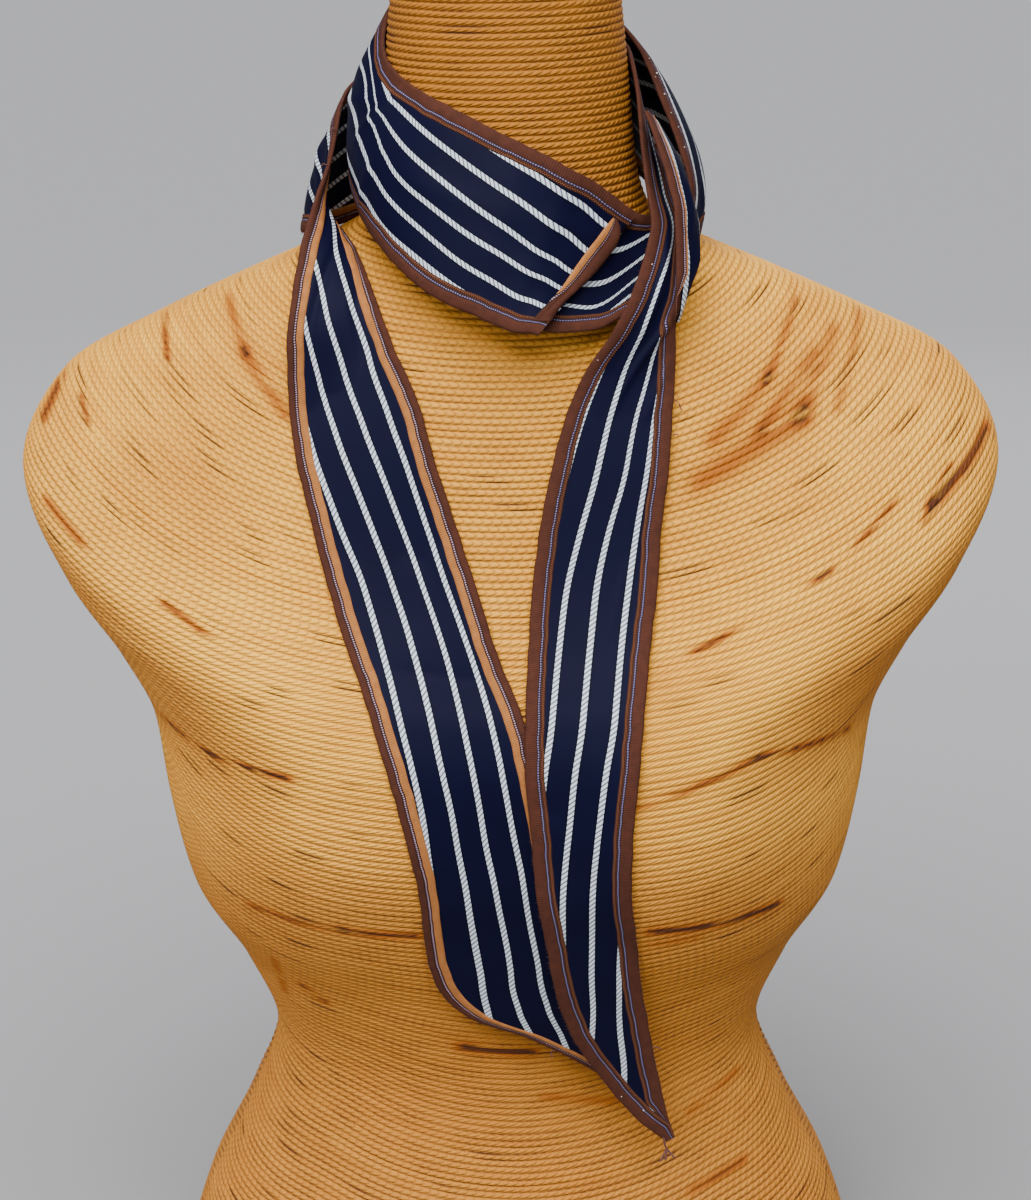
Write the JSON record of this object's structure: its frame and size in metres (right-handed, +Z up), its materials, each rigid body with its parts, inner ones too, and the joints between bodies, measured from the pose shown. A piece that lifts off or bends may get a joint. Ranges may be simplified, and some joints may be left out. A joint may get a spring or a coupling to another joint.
{
  "type": "neck scarf on a dress form",
  "caption": "Narrow striped neck scarf with bound edges, wound round the neck of a limbless cord-covered dress form, its two slanted tails hanging down the front.",
  "frame": {"origin": "centre of the dress form's flat base", "axes": "+Z up along the neck, -Y towards the wearer's front, +X to the wearer's left, which is the right as seen from the front"},
  "size_m": [0.404, 0.2318, 0.606],
  "materials": {
    "scarf_twill": "satin",
    "scarf_binding": "matte",
    "scarf_lip_binding": "matte",
    "form_cord": "matte"
  },
  "bodies": {
    "root": {"dress_form": "form_cord", "scarf_band_front_cloth": "scarf_twill", "scarf_band_front_binding_upper": "scarf_binding", "scarf_band_front_binding_lower": "scarf_binding", "scarf_lip": "scarf_lip_binding", "scarf_band_right_cloth": "scarf_twill", "scarf_band_right_binding_upper": "scarf_binding", "scarf_band_right_binding_lower": "scarf_binding", "scarf_loop_inner_cloth": "scarf_twill", "scarf_loop_inner_binding_upper": "scarf_binding", "scarf_loop_inner_binding_lower": "scarf_binding", "scarf_loop_outer_cloth": "scarf_twill", "scarf_loop_outer_binding_upper": "scarf_binding", "scarf_loop_outer_binding_lower": "scarf_binding", "scarf_tail_left_cloth": "scarf_twill", "scarf_tail_left_binding_upper": "scarf_binding", "scarf_tail_left_binding_lower": "scarf_binding", "scarf_tail_right_cloth": "scarf_twill", "scarf_tail_right_binding_upper": "scarf_binding", "scarf_tail_right_binding_lower": "scarf_binding", "scarf_fold_right": "scarf_twill"}
  },
  "joints": []
}
